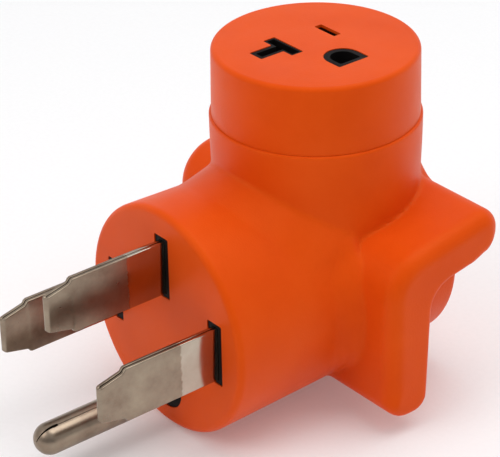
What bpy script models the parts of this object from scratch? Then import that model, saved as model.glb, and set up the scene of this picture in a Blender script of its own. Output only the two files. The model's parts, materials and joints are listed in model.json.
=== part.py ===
"""Right-angle plug adapter: four-blade 50 A plug on the front, 20 A receptacle on top.

Frame: origin at the centre of the plug face, +Y into the body, +Z out of the receptacle.
The blades point along -Y. Sizes are millimetres here and become metres in each mesh.
"""
import math

import bmesh
import bpy
from mathutils import Matrix, Vector

MM = 0.001

# Gaps between pieces, and how far cutters and joined shapes run past or into each other
GAP = 0.3
TOUCH_GAP = 0.2
WELD = 0.002
PAST = 1.0
JOIN = 0.5

# Sides of round shapes
BIG_ROUND = 56
ROUND = 40
WINDOW_ROUND = 32
PIN_ROUND = 28
SMALL_ROUND = 20
FINE_ROUND = 16
WIRE_ROUND = 10
COPPER_ROUND = 8
SHARP_ANGLE = 30.0

# Plug body: a cylinder along Y, a little wider at the plug face
BODY_R_FRONT = 26.6
BODY_R_BACK = 25.0
BODY_LENGTH = 64.2
BODY_EDGE_R = 2.5
BODY_BORE_R = 22.6
FRONT_WALL = 3.0
BACK_WALL = 3.0

# Neck and receptacle cap: cylinders along Z
NECK_Y = 43.5
NECK_R = 23.6
NECK_BOTTOM = 6.0
NECK_TOP = 37.2
NECK_LIP_R = 0.8
NECK_BORE_R = 20.6
NECK_BORE_BOTTOM = 9.0
CAP_R = 23.1
CAP_BOTTOM = 37.5
CAP_TOP_WALL = 3.0
CAP_TAPER = 0.2
CAP_EDGE_R = 1.5
FACE_Z = 53.0

# Finger grips: one hooked outline, the same on both sides
GRIP_HALF_SPAN = 38.0
GRIP_EDGE_R = 3.0
GRIP_BOTTOM = -22.0
GRIP_FRONT_Y = 32.6
GRIP_BACK_Y = 64.6
GRIP_TOP_Z = 21.2
GRIP_WALL_THICK = 11.8
GRIP_ARM_THICK = 10.1
GRIP_OUTER_R = 10.0
GRIP_INNER_R = 6.5
GRIP_TIP_R = 2.5
GRIP_FOOT_R = 4.3
GRIP_LOW_TIP_R = 5.0
GRIP_SLOPE = math.radians(10.0)

# Blades and their windows in the plug face, as (x, z)
BLADES = {
    "neutral_blade": (0.0, 13.4),
    "line_x_blade": (17.8, 0.0),
    "line_y_blade": (-17.8, 0.0),
}
GROUND_AT = (0.0, -17.0)
BLADE_THICK = 1.8
BLADE_HALF_WIDTH = 6.4
BLADE_LENGTH = 30.6
BLADE_SHOULDER = 24.0
BLADE_NOTCH = 0.5
BLADE_NOTCH_RUN = 0.8
BLADE_TIP_HALF_WIDTH = 4.0
NOSE_HALF_WIDTH = 3.3
NOSE_RUN = 1.6
PIN_R = 3.6
PIN_LENGTH = 35.0
WINDOW_X = 4.7
WINDOW_Z = 14.9
WINDOW_ROUND_R = 5.2

# Plug core and its retainer
CORE_FRONT = FRONT_WALL + GAP
CORE_BACK = 12.7
RETAINER_BACK = 16.0
SHOULDER_FRONT = 9.6
SHOULDER_BACK = CORE_BACK - GAP
SHOULDER_HALF_X = 2.2
SHOULDER_HALF_Z = 4.0
FLANGE_R = 4.6
TAIL_HALF_Z = 3.0
TAIL_BACK = 20.0

# Wire cups, where the copper ends
CUP_R = 2.3
CUP_BORE_R = 1.5
CUP_LENGTH = 6.0
WIRE_R = 2.0
COPPER_R = 1.15
CUP_ENGAGE = 4.5
CUP_DEPTH = CUP_ENGAGE + 0.5
BLADE_CUP_MOUTH = TAIL_BACK + CUP_LENGTH - JOIN
WIRE_STEPS = 7
WIRE_LEAD = 0.9
WIRE_END_CUT = 1.0

# Each wire's way: its reach out of the blade, its middle point and heading, its reach into the contact
WIRE_WAYS = {
    "neutral": (20.0, (-1.7, 35.0, 2.0), (-1.0, 20.0, 0.0), 12.0),
    "hot": (30.0, (-11.5, 48.0, 0.0), (12.0, 10.0, 2.0), 20.0),
    "ground": (26.0, (6.0, 40.0, -9.0), (5.0, 8.0, 14.0), 22.0),
}

# Receptacle pattern, as (x, y from the neck's axis)
HOT_AT = (-3.4, 6.35)
NEUTRAL_AT = (-3.4, -6.35)
GROUND_SLOT_AT = (9.0, 0.0)
HOT_SLOT = (6.7, 2.0)
CORE_SLOT_GROW = 0.15
T_BAR = (8.6, 2.0)
T_STEM_WIDTH = 2.1
T_STEM_END = -13.1
T_RIM_BAR = 0.5
T_RIM_STEM = 0.9
D_R = 2.8
D_FLAT = 2.5
D_RIM_R = 1.3
D_RIM_FLAT = 1.1

# Receptacle core and the carrier that closes it
RCORE_R = 20.3
RCORE_BOTTOM = 26.0
RCORE_TOP = FACE_Z - CAP_TOP_WALL - GAP
CHAMBER_TOP = 47.0
CARRIER_BOTTOM = 22.0
CARRIER_TOP = RCORE_BOTTOM - GAP

# Chambers under the slots, as low and high corners in x and y from the neck's axis
CHAMBERS = {
    "hot": ((-8.6, 3.2), (1.8, 12.4)),
    "neutral": ((-9.2, -15.4), (2.4, -1.7)),
    "ground": ((4.6, -4.8), (15.6, 4.8)),
}

# Contacts; a foot is a low corner, a high corner and its tail's place, in x and y from its slot
HOT_FOOT = ((-3.2, -1.75), (3.2, 5.0), (0.0, 1.8))
NEUTRAL_FOOT = ((-3.6, -7.2), (4.9, 4.4), (0.0, 2.6))
GROUND_FOOT = ((-3.9, -3.6), (6.1, 3.6), (0.0, 0.0))
FOOT_BOTTOM = 26.0
FOOT_TOP = 26.9
SHEET = 0.8
JAW_TOP = 43.5
JAW_FLARE_TOP = 46.0
JAW_FACE = 0.85
JAW_FLARE = 0.9
GROUND_JAW_R = 2.6
GROUND_JAW_FROM = 110.0
GROUND_JAW_TO = 250.0
LEAF_HALF_WIDTH = 2.9
STEM_LEAF_SPAN = (-13.3, -8.3)
STEM_JAW_TO_BAR = 1.1
GROUND_LEAF_HALF_WIDTH = 2.4
GROUND_LEAF_SHIFT = 1.7
LEAF_FLANGE_BOTTOM = FOOT_TOP + GAP
LEAF_FLANGE_TOP = LEAF_FLANGE_BOTTOM + 0.7
LEAF_ROOT = 4.0
LEAF_BEND = 0.15
LEAF_FLANGE_IN = -0.4
LEAF_PINCH = 0.35
LEAF_PINCH_Z = 40.0
LEAF_FLARE = 1.9
LEAF_TOP = 44.5
HINGE_AT = 2.6
HINGE_Z = 27.5
RIVET_AT = 1.3
RIVET_R = 0.8
RIVET_LIFT = 0.05
RIVET_HEAD_BOTTOM = LEAF_FLANGE_TOP + GAP
RIVET_HEAD_R = 1.4
RIVET_CROWN_R = 0.84
RIVET_CROWN_RISE = 0.6
RIVET_HEAD_RISE = 0.7
CUP_TOP = 18.5


def material(name, colour, roughness, metallic=0.0):
    """A Principled material, made once for each name."""
    found = bpy.data.materials.get(name)
    if found:
        return found
    made = bpy.data.materials.new(name)
    made.use_nodes = True
    shader = made.node_tree.nodes["Principled BSDF"]
    shader.inputs["Base Color"].default_value = (*colour, 1.0)
    shader.inputs["Roughness"].default_value = roughness
    shader.inputs["Metallic"].default_value = metallic
    return made


def orange():
    return material("orange_pvc", (0.83, 0.14, 0.03), 0.45)


def black():
    return material("black_nylon", (0.015, 0.015, 0.016), 0.5)


def nickel():
    return material("nickel_plate", (0.58, 0.54, 0.48), 0.3, 1.0)


def brass():
    return material("brass", (0.78, 0.6, 0.3), 0.3, 1.0)


def steel():
    return material("rivet_steel", (0.6, 0.6, 0.6), 0.35, 1.0)


def copper():
    return material("copper", (0.8, 0.4, 0.25), 0.3, 1.0)


def insulation(colour_name, colour):
    return material("insulation_" + colour_name, colour, 0.4)


def finish(shape, name, finish_material, origin=(0.0, 0.0, 0.0)):
    """Bring a shape from millimetres to metres about its origin, name it, shade it and colour it."""
    shape.data.transform(Matrix.Scale(MM, 4) @ Matrix.Translation(-Vector(origin)))
    shape.location = Vector(origin) * MM
    shape.name = name
    shape.data.name = name
    shape.data.materials.clear()
    shape.data.materials.append(finish_material)
    shape.data.shade_smooth()
    shape.data.set_sharp_from_angle(angle=math.radians(SHARP_ANGLE))
    return shape


def shape_from(work):
    """Turn a bmesh into an object, its faces pointing out."""
    bmesh.ops.recalc_face_normals(work, faces=work.faces)
    mesh = bpy.data.meshes.new("shape")
    work.to_mesh(mesh)
    work.free()
    shape = bpy.data.objects.new("shape", mesh)
    bpy.context.scene.collection.objects.link(shape)
    return shape


def box(low, high):
    """A block between two corners."""
    work = bmesh.new()
    size = Vector(high) - Vector(low)
    centre = (Vector(high) + Vector(low)) / 2.0
    bmesh.ops.create_cube(work, size=1.0)
    bmesh.ops.scale(work, vec=size, verts=work.verts)
    bmesh.ops.translate(work, vec=centre, verts=work.verts)
    return shape_from(work)


def place(axis, across_a, across_b, along):
    """A point from two coordinates across an axis and one along it, in X, Y, Z order."""
    if axis == "X":
        return (along, across_a, across_b)
    if axis == "Y":
        return (across_a, along, across_b)
    return (across_a, across_b, along)


def prism(outline, axis, low, high):
    """An outline of points across an axis, pushed along that axis from low to high."""
    work = bmesh.new()
    ends = []
    for along in (low, high):
        ends.append([work.verts.new(place(axis, a, b, along)) for a, b in outline])
    work.faces.new(ends[0])
    work.faces.new(reversed(ends[1]))
    count = len(outline)
    for i in range(count):
        j = (i + 1) % count
        work.faces.new((ends[0][i], ends[1][i], ends[1][j], ends[0][j]))
    return shape_from(work)


def turned(profile, axis, centre, segments=ROUND):
    """A profile of (radius, along) points turned about an axis; it starts and ends at radius 0."""
    work = bmesh.new()
    rings = []
    for radius, along in profile:
        if radius == 0.0:
            rings.append([work.verts.new(place(axis, centre[0], centre[1], along))])
            continue
        ring = []
        for step in range(segments):
            turn = 2.0 * math.pi * step / segments
            a = centre[0] + radius * math.cos(turn)
            b = centre[1] + radius * math.sin(turn)
            ring.append(work.verts.new(place(axis, a, b, along)))
        rings.append(ring)
    for lower, upper in zip(rings, rings[1:]):
        for step in range(segments):
            after = (step + 1) % segments
            if len(lower) == 1:
                work.faces.new((lower[0], upper[step], upper[after]))
            elif len(upper) == 1:
                work.faces.new((lower[step], upper[0], lower[after]))
            else:
                work.faces.new((lower[step], upper[step], upper[after], lower[after]))
    return shape_from(work)


def rod(axis, centre, radius, low, high, segments=ROUND):
    """A plain round rod along an axis."""
    return turned([(0.0, low), (radius, low), (radius, high), (0.0, high)], axis, centre, segments)


def arc(centre, radius, start, end, steps):
    """Points on an arc, from one angle in degrees to another, both ends included."""
    points = []
    for step in range(steps + 1):
        turn = math.radians(start + (end - start) * step / steps)
        points.append((centre[0] + radius * math.cos(turn), centre[1] + radius * math.sin(turn)))
    return points


def rounded_corner(before, corner, after, radius, steps):
    """Points that round off the corner between two straight edges."""
    back = (Vector(before) - Vector(corner)).normalized()
    ahead = (Vector(after) - Vector(corner)).normalized()
    half = back.angle(ahead) / 2.0
    centre = Vector(corner) + (back + ahead).normalized() * (radius / math.sin(half))
    start = Vector(corner) + back * (radius / math.tan(half)) - centre
    end = Vector(corner) + ahead * (radius / math.tan(half)) - centre
    sweep = start.angle_signed(end)
    points = []
    for step in range(steps + 1):
        turned_by = Matrix.Rotation(-sweep * step / steps, 2)
        points.append(tuple(centre + turned_by @ start))
    return points


def weld(shape):
    """Merge the corners that a Boolean leaves closer together than WELD."""
    work = bmesh.new()
    work.from_mesh(shape.data)
    bmesh.ops.remove_doubles(work, verts=work.verts, dist=WELD)
    bmesh.ops.dissolve_degenerate(work, edges=work.edges, dist=WELD)
    work.to_mesh(shape.data)
    work.free()


def combine(target, operation, others):
    """Join or cut a shape with others by exact Booleans, apply them and remove the others."""
    for other in others:
        step = target.modifiers.new(operation.lower(), "BOOLEAN")
        step.operation = operation
        step.solver = "EXACT"
        step.object = other
        bpy.context.view_layer.update()
        evaluated = target.evaluated_get(bpy.context.evaluated_depsgraph_get())
        result = bpy.data.meshes.new_from_object(evaluated)
        target.modifiers.clear()
        target.data = result
        bpy.data.objects.remove(other)
        weld(target)
    return target


def union(target, *others):
    return combine(target, "UNION", others)


def cut(target, *others):
    return combine(target, "DIFFERENCE", others)


def bevel_where(shape, chosen, width, segments):
    """Round the edges for which chosen(edge) is true."""
    work = bmesh.new()
    work.from_mesh(shape.data)
    edges = [edge for edge in work.edges if chosen(edge)]
    bmesh.ops.bevel(
        work, geom=edges, offset=width, segments=segments, profile=0.5,
        affect="EDGES", clamp_overlap=True,
    )
    work.to_mesh(shape.data)
    work.free()
    return shape


def tube(points, radius, segments):
    """A closed rod of round section along a list of points."""
    work = bmesh.new()
    rings = []
    side = None
    for i, point in enumerate(points):
        ahead = (points[min(i + 1, len(points) - 1)] - points[max(i - 1, 0)]).normalized()
        if side is None:
            side = ahead.orthogonal().normalized()
        side = (side - ahead * side.dot(ahead)).normalized()
        up = ahead.cross(side)
        ring = []
        for step in range(segments):
            turn = 2.0 * math.pi * step / segments
            ring.append(work.verts.new(point + (side * math.cos(turn) + up * math.sin(turn)) * radius))
        rings.append(ring)
    for lower, upper in zip(rings, rings[1:]):
        for step in range(segments):
            after = (step + 1) % segments
            work.faces.new((lower[step], upper[step], upper[after], lower[after]))
    work.faces.new(rings[0])
    work.faces.new(rings[-1])
    return shape_from(work)


def rectangle(centre, size):
    """Corners of a rectangle about a centre."""
    half_a = size[0] / 2.0
    half_b = size[1] / 2.0
    signs = [(-1.0, -1.0), (1.0, -1.0), (1.0, 1.0), (-1.0, 1.0)]
    return [(centre[0] + a * half_a, centre[1] + b * half_b) for a, b in signs]


def grip_outline():
    """The hooked outline of a finger grip, in Y and Z: a wall that turns back along its top."""
    rise = math.tan(GRIP_SLOPE)
    top_run = GRIP_BACK_Y - GRIP_FRONT_Y
    front_top = (GRIP_FRONT_Y, GRIP_TOP_Z - top_run * rise)
    back_top = (GRIP_BACK_Y, GRIP_TOP_Z)
    wall_back = GRIP_FRONT_Y + GRIP_WALL_THICK
    arm_drop = GRIP_ARM_THICK / math.cos(GRIP_SLOPE)
    back_low = (GRIP_BACK_Y, GRIP_TOP_Z - arm_drop)
    inner = (wall_back, GRIP_TOP_Z - arm_drop - (GRIP_BACK_Y - wall_back) * rise)
    bottom_front = (GRIP_FRONT_Y, GRIP_BOTTOM)
    bottom_back = (wall_back, GRIP_BOTTOM)
    corners = [
        (bottom_front, GRIP_FOOT_R, 4),
        (front_top, GRIP_OUTER_R, 8),
        (back_top, GRIP_TIP_R, 4),
        (back_low, GRIP_LOW_TIP_R, 5),
        (inner, GRIP_INNER_R, 6),
        (bottom_back, GRIP_TIP_R, 4),
    ]
    outline = []
    for i, (corner, radius, steps) in enumerate(corners):
        before = corners[i - 1][0]
        after = corners[(i + 1) % len(corners)][0]
        outline.extend(rounded_corner(before, corner, after, radius, steps))
    return outline


def grips():
    """Both finger grips as one bar through the body, its end edges rounded."""
    bar = prism(grip_outline(), "X", -GRIP_HALF_SPAN, GRIP_HALF_SPAN)

    def on_an_end(edge):
        first, second = (vert.co.x / GRIP_HALF_SPAN for vert in edge.verts)
        return abs(first + second) > 1.99

    return bevel_where(bar, on_an_end, GRIP_EDGE_R, 4)


def body_outside():
    """The plug body: a slightly tapered cylinder along Y with rounded ends."""
    profile = [(0.0, 0.0)]
    profile += arc((BODY_R_FRONT - BODY_EDGE_R, BODY_EDGE_R), BODY_EDGE_R, -90.0, 0.0, 4)
    back_edge = (BODY_R_BACK - BODY_EDGE_R, BODY_LENGTH - BODY_EDGE_R)
    profile += arc(back_edge, BODY_EDGE_R, 0.0, 90.0, 4)
    profile.append((0.0, BODY_LENGTH))
    return turned(profile, "Y", (0.0, 0.0), BIG_ROUND)


def neck_outside():
    """The neck that rises from the body to the cap, with a small rounded lip."""
    profile = [(0.0, NECK_BOTTOM)]
    profile += arc((NECK_R - BODY_EDGE_R, NECK_BOTTOM + BODY_EDGE_R), BODY_EDGE_R, -90.0, 0.0, 4)
    profile += arc((NECK_R - NECK_LIP_R, NECK_TOP - NECK_LIP_R), NECK_LIP_R, 0.0, 90.0, 3)
    profile.append((0.0, NECK_TOP))
    return turned(profile, "Z", (0.0, NECK_Y), BIG_ROUND)


def over_mould():
    """The orange body: plug body, neck and grips in one, hollow, with windows for the core."""
    body = union(body_outside(), grips(), neck_outside())
    body_bore = rod("Y", (0.0, 0.0), BODY_BORE_R, FRONT_WALL, BODY_LENGTH - BACK_WALL)
    neck_bore = rod("Z", (0.0, NECK_Y), NECK_BORE_R, NECK_BORE_BOTTOM, NECK_TOP + PAST)
    cutters = [union(body_bore, neck_bore)]
    for at in BLADES.values():
        cutters.append(prism(rectangle(at, (WINDOW_X, WINDOW_Z)), "Y", -PAST, FRONT_WALL + PAST))
    cutters.append(rod("Y", GROUND_AT, WINDOW_ROUND_R, -PAST, FRONT_WALL + PAST, WINDOW_ROUND))
    return finish(cut(body, *cutters), "over_mould", orange())


def plug_core():
    """The black insulator: a disc with a boss in each window and a slot for each blade."""
    core = rod("Y", (0.0, 0.0), BODY_BORE_R - GAP, CORE_FRONT, CORE_BACK)
    boss_size = (WINDOW_X - 2 * TOUCH_GAP, WINDOW_Z - 2 * TOUCH_GAP)
    for at in BLADES.values():
        core = union(core, prism(rectangle(at, boss_size), "Y", 0.0, CORE_FRONT + JOIN))
    round_boss = rod("Y", GROUND_AT, WINDOW_ROUND_R - TOUCH_GAP, 0.0, CORE_FRONT + JOIN, WINDOW_ROUND)
    core = union(core, round_boss)
    slot_size = (BLADE_THICK + 2 * GAP, 2 * (BLADE_HALF_WIDTH + GAP))
    pocket_size = (2 * (SHOULDER_HALF_X + GAP), 2 * (SHOULDER_HALF_Z + GAP))
    pocket_front = SHOULDER_FRONT - GAP
    past_back = CORE_BACK + PAST
    cutters = []
    for at in BLADES.values():
        cutters.append(prism(rectangle(at, slot_size), "Y", -PAST, past_back))
        cutters.append(prism(rectangle(at, pocket_size), "Y", pocket_front, past_back))
    cutters.append(rod("Y", GROUND_AT, PIN_R + GAP, -PAST, past_back, WINDOW_ROUND))
    cutters.append(rod("Y", GROUND_AT, FLANGE_R + GAP, pocket_front, past_back, WINDOW_ROUND))
    return finish(cut(core, *cutters), "plug_core", black())


def plug_core_back():
    """The retainer disc that traps the blades' shoulders in the plug core."""
    disc = rod("Y", (0.0, 0.0), BODY_BORE_R - GAP, CORE_BACK + GAP, RETAINER_BACK)
    tail_size = (BLADE_THICK + 2 * GAP, 2 * (TAIL_HALF_Z + GAP))
    cutters = []
    for at in BLADES.values():
        cutters.append(prism(rectangle(at, tail_size), "Y", CORE_BACK, RETAINER_BACK + PAST))
    cutters.append(rod("Y", GROUND_AT, CUP_R + GAP, CORE_BACK, RETAINER_BACK + PAST, SMALL_ROUND))
    return finish(cut(disc, *cutters), "plug_core_back", black())


def cup(axis, centre, mouth, inward):
    """A wire cup along an axis, open at its mouth; inward is +1 or -1 along the axis."""
    far = mouth + inward * CUP_LENGTH
    body = rod(axis, centre, CUP_R, min(mouth, far), max(mouth, far), SMALL_ROUND)
    floor = mouth + inward * CUP_DEPTH
    outside = mouth - inward * PAST
    bore = rod(axis, centre, CUP_BORE_R, min(outside, floor), max(outside, floor), SMALL_ROUND)
    return body, bore


def blade(name, at, wired):
    """A flat blade: chamfered nose, straight run, shoulders in the core, and a wire cup."""
    x, z = at
    half_thick = BLADE_THICK / 2.0
    tip = -BLADE_LENGTH
    shoulder = -BLADE_SHOULDER
    notch = shoulder - BLADE_NOTCH_RUN
    side = [(tip + half_thick, NOSE_HALF_WIDTH), (tip + NOSE_RUN, BLADE_TIP_HALF_WIDTH)]
    side += [(notch, BLADE_HALF_WIDTH - BLADE_NOTCH), (shoulder, BLADE_HALF_WIDTH)]
    side += [(SHOULDER_BACK, BLADE_HALF_WIDTH), (SHOULDER_BACK, TAIL_HALF_Z), (TAIL_BACK, TAIL_HALF_Z)]
    outline = [(y, z + dz) for y, dz in side] + [(y, z - dz) for y, dz in reversed(side)]
    flat = prism(outline, "X", x - half_thick, x + half_thick)
    nose_at = (x, tip + half_thick)
    nose = rod("Z", nose_at, half_thick, z - NOSE_HALF_WIDTH, z + NOSE_HALF_WIDTH, SMALL_ROUND)
    ears_low = (x - SHOULDER_HALF_X, SHOULDER_FRONT, z - SHOULDER_HALF_Z)
    ears = box(ears_low, (x + SHOULDER_HALF_X, SHOULDER_BACK, z + SHOULDER_HALF_Z))
    made = union(flat, nose, ears)
    if wired:
        body, bore = cup("Y", at, BLADE_CUP_MOUTH, -1.0)
        made = cut(union(made, body), bore)
    return finish(made, name, nickel())


def ground_pin():
    """The round pin: domed nose, shank, a flange in the core, and a wire cup."""
    dome = arc((0.0, -PIN_LENGTH + PIN_R), PIN_R, -90.0, 0.0, 6)
    dome[0] = (0.0, -PIN_LENGTH)
    mouth = BLADE_CUP_MOUTH
    profile = dome + [(PIN_R, SHOULDER_FRONT), (FLANGE_R, SHOULDER_FRONT), (FLANGE_R, SHOULDER_BACK)]
    profile += [(CUP_R, SHOULDER_BACK), (CUP_R, mouth), (CUP_BORE_R, mouth)]
    profile += [(CUP_BORE_R, mouth - CUP_DEPTH), (0.0, mouth - CUP_DEPTH)]
    return finish(turned(profile, "Y", GROUND_AT, PIN_ROUND), "ground_pin", nickel())


def t_outline(grow_bar, grow_stem):
    """The T-shaped slot's outline in X and Y, grown outwards."""
    x, y = NEUTRAL_AT
    bar = T_BAR[0] / 2.0 + grow_bar
    top = y + T_BAR[1] / 2.0 + grow_bar
    low = y - T_BAR[1] / 2.0 - grow_bar
    stem = T_STEM_WIDTH / 2.0 + grow_stem
    end = T_STEM_END - grow_stem
    points = [(x - bar, low), (x - stem, low), (x - stem, end), (x + stem, end), (x + stem, low)]
    points += [(x + bar, low), (x + bar, top), (x - bar, top)]
    return [(a, b + NECK_Y) for a, b in points]


def d_outline(grow_round, grow_flat):
    """The D-shaped slot's outline in X and Y: round towards -X, flat towards +X."""
    x, y = GROUND_SLOT_AT
    radius = D_R + grow_round
    flat = x + D_FLAT + grow_flat
    points = arc((x, y + NECK_Y), radius, 90.0, 270.0, 16)
    return points + [(flat, y + NECK_Y - radius), (flat, y + NECK_Y + radius)]


def hot_outline(grow):
    """The hot slot's outline in X and Y."""
    return rectangle((HOT_AT[0], HOT_AT[1] + NECK_Y), (HOT_SLOT[0] + 2 * grow, HOT_SLOT[1] + 2 * grow))


def receptacle_cap():
    """The orange cap: a cup over the core, with windows for its T and D rims and the hot slot."""
    top_r = CAP_R - CAP_TAPER
    profile = [(0.0, CAP_BOTTOM), (CAP_R, CAP_BOTTOM)]
    profile += arc((top_r - CAP_EDGE_R, FACE_Z - CAP_EDGE_R), CAP_EDGE_R, 0.0, 90.0, 4)
    profile.append((0.0, FACE_Z))
    cap = turned(profile, "Z", (0.0, NECK_Y), BIG_ROUND)
    wall_low = FACE_Z - CAP_TOP_WALL
    windows = [
        t_outline(T_RIM_BAR + TOUCH_GAP, T_RIM_STEM + TOUCH_GAP),
        d_outline(D_RIM_R + TOUCH_GAP, D_RIM_FLAT + TOUCH_GAP),
        hot_outline(0.0),
    ]
    cutters = [rod("Z", (0.0, NECK_Y), NECK_BORE_R, CAP_BOTTOM - PAST, wall_low)]
    for window in windows:
        cutters.append(prism(window, "Z", wall_low - PAST, FACE_Z + PAST))
    return finish(cut(cap, *cutters), "receptacle_cap", orange())


def chambers():
    """The three spaces under the slots that hold the contacts, open at the bottom."""
    made = []
    for (x0, y0), (x1, y1) in CHAMBERS.values():
        low = (x0, y0 + NECK_Y, RCORE_BOTTOM - PAST)
        made.append(box(low, (x1, y1 + NECK_Y, CHAMBER_TOP)))
    return made


def receptacle_core():
    """The black insulator of the receptacle: slots above, a chamber for each contact below."""
    core = rod("Z", (0.0, NECK_Y), RCORE_R, RCORE_BOTTOM, RCORE_TOP)
    core = union(core, prism(t_outline(T_RIM_BAR, T_RIM_STEM), "Z", RCORE_TOP - JOIN, FACE_Z))
    core = union(core, prism(d_outline(D_RIM_R, D_RIM_FLAT), "Z", RCORE_TOP - JOIN, FACE_Z))
    slots = []
    for outline in (t_outline(0.0, 0.0), d_outline(0.0, 0.0), hot_outline(CORE_SLOT_GROW)):
        slots.append(prism(outline, "Z", CHAMBER_TOP - PAST, FACE_Z + PAST))
    return finish(cut(core, *chambers(), *slots), "receptacle_core", black())


def contact_feet():
    """Each contact's foot as low and high corners, and the place of its tail, in X and Y."""
    feet = {}
    for name, at, foot in (
        ("hot_contact", HOT_AT, HOT_FOOT),
        ("neutral_contact", NEUTRAL_AT, NEUTRAL_FOOT),
        ("ground_contact", GROUND_SLOT_AT, GROUND_FOOT),
    ):
        feet[name] = [(at[0] + dx, at[1] + NECK_Y + dy) for dx, dy in foot]
    return feet


def contact_carrier():
    """The black disc under the core that the contacts stand on; their tails pass through it."""
    disc = rod("Z", (0.0, NECK_Y), RCORE_R, CARRIER_BOTTOM, CARRIER_TOP)
    low = CARRIER_BOTTOM - PAST
    high = CARRIER_TOP + PAST
    holes = []
    for _, _, tail in contact_feet().values():
        holes.append(rod("Z", tail, CUP_BORE_R + GAP, low, high, FINE_ROUND))
    return finish(cut(disc, *holes), "contact_carrier", black())


def jaw_profile():
    """A fixed jaw in section, as (across, z): straight up, then flared away from the blade."""
    near = -JAW_FACE
    far = near - SHEET
    low = FOOT_TOP - JOIN
    return [
        (near, low), (near, JAW_TOP), (near - JAW_FLARE, JAW_FLARE_TOP),
        (far - JAW_FLARE, JAW_FLARE_TOP), (far, JAW_TOP), (far, low),
    ]


def leaf_profile():
    """A leaf in section, as (across, z): flange, root bend, spring arm, pinch point and flare."""
    return [
        (LEAF_FLANGE_IN, LEAF_FLANGE_BOTTOM), (LEAF_ROOT, LEAF_FLANGE_BOTTOM),
        (LEAF_PINCH + SHEET, LEAF_PINCH_Z), (LEAF_FLARE + SHEET, LEAF_TOP),
        (LEAF_FLARE, LEAF_TOP), (LEAF_PINCH, LEAF_PINCH_Z),
        (LEAF_ROOT - SHEET - LEAF_BEND, LEAF_FLANGE_TOP), (LEAF_FLANGE_IN, LEAF_FLANGE_TOP),
    ]


def rivet(name, at):
    """A rivet through a leaf's flange and the foot under it, with a domed head."""
    profile = [(0.0, FOOT_BOTTOM + RIVET_LIFT), (RIVET_R, FOOT_BOTTOM + RIVET_LIFT)]
    profile += [(RIVET_R, RIVET_HEAD_BOTTOM), (RIVET_HEAD_R, RIVET_HEAD_BOTTOM)]
    profile += [(RIVET_CROWN_R, RIVET_HEAD_BOTTOM + RIVET_CROWN_RISE)]
    profile += [(0.0, RIVET_HEAD_BOTTOM + RIVET_HEAD_RISE)]
    return finish(turned(profile, "Z", at, FINE_ROUND), name + "_rivet", steel())


def leaf(name, at, axis, low, high):
    """A sprung leaf along its blade's width, its rivet, and the hole that its foot needs."""
    x, y = at[0], at[1] + NECK_Y
    middle = (low + high) / 2.0
    if axis == "X":
        outline = [(y + across, z) for across, z in leaf_profile()]
        rivet_at = (middle, y + RIVET_AT)
        hinge = (middle, y + HINGE_AT, HINGE_Z)
    else:
        outline = [(x + across, z) for across, z in leaf_profile()]
        rivet_at = (x + RIVET_AT, middle)
        hinge = (x + HINGE_AT, middle, HINGE_Z)
    hole = rod("Z", rivet_at, RIVET_R + GAP, FOOT_TOP, LEAF_FLANGE_TOP + PAST, FINE_ROUND)
    finish(cut(prism(outline, axis, low, high), hole), name + "_leaf", brass(), hinge)
    rivet(name, rivet_at)
    return rod("Z", rivet_at, RIVET_R + GAP, FOOT_BOTTOM - PAST, FOOT_TOP + PAST, FINE_ROUND)


def leaves():
    """Every sprung leaf with its rivet; gives back the rivet holes that each foot needs."""
    hot_x = HOT_AT[0]
    bar_x = NEUTRAL_AT[0]
    stem_low = STEM_LEAF_SPAN[0] + NECK_Y
    stem_high = STEM_LEAF_SPAN[1] + NECK_Y
    pin_at = (GROUND_SLOT_AT[0] + GROUND_LEAF_SHIFT, GROUND_SLOT_AT[1])
    pin_low = NECK_Y - GROUND_LEAF_HALF_WIDTH
    pin_high = NECK_Y + GROUND_LEAF_HALF_WIDTH
    return {
        "hot_contact": [leaf("hot", HOT_AT, "X", hot_x - LEAF_HALF_WIDTH, hot_x + LEAF_HALF_WIDTH)],
        "neutral_contact": [
            leaf("neutral_bar", NEUTRAL_AT, "X", bar_x - LEAF_HALF_WIDTH, bar_x + LEAF_HALF_WIDTH),
            leaf("neutral_stem", NEUTRAL_AT, "Y", stem_low, stem_high),
        ],
        "ground_contact": [leaf("ground", pin_at, "Y", pin_low, pin_high)],
    }


def hot_jaw():
    """The fixed jaw across the hot slot from its leaf."""
    x, y = HOT_AT
    outline = [(y + NECK_Y + across, z) for across, z in jaw_profile()]
    return prism(outline, "X", x - LEAF_HALF_WIDTH, x + LEAF_HALF_WIDTH)


def neutral_jaw():
    """The fixed jaw across the T slot's stem from its leaf."""
    x, y = NEUTRAL_AT
    outline = [(x + across, z) for across, z in jaw_profile()]
    return prism(outline, "Y", STEM_LEAF_SPAN[0] + NECK_Y, y + NECK_Y - STEM_JAW_TO_BAR)


def ground_jaw():
    """The round half-shell that backs the ground pin, open towards its leaf."""
    x, y = GROUND_SLOT_AT
    centre = (x, y + NECK_Y)
    outline = arc(centre, GROUND_JAW_R + SHEET, GROUND_JAW_FROM, GROUND_JAW_TO, 8)
    outline += arc(centre, GROUND_JAW_R, GROUND_JAW_TO, GROUND_JAW_FROM, 8)
    return prism(outline, "Z", FOOT_TOP - JOIN, JAW_FLARE_TOP)


def contacts(rivet_holes):
    """The three contacts: a foot with fixed jaws above it and a tail with a wire cup below."""
    jaws = {
        "hot_contact": hot_jaw(),
        "neutral_contact": neutral_jaw(),
        "ground_contact": ground_jaw(),
    }
    for name, (low, high, tail) in contact_feet().items():
        foot = box((*low, FOOT_BOTTOM), (*high, FOOT_TOP))
        body, bore = cup("Z", tail, CUP_TOP - CUP_LENGTH, 1.0)
        stem = rod("Z", tail, CUP_BORE_R, CUP_TOP - JOIN, FOOT_BOTTOM + JOIN, FINE_ROUND)
        made = cut(union(foot, stem, body, jaws[name]), bore, *rivet_holes[name])
        finish(made, name, brass())


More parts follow.
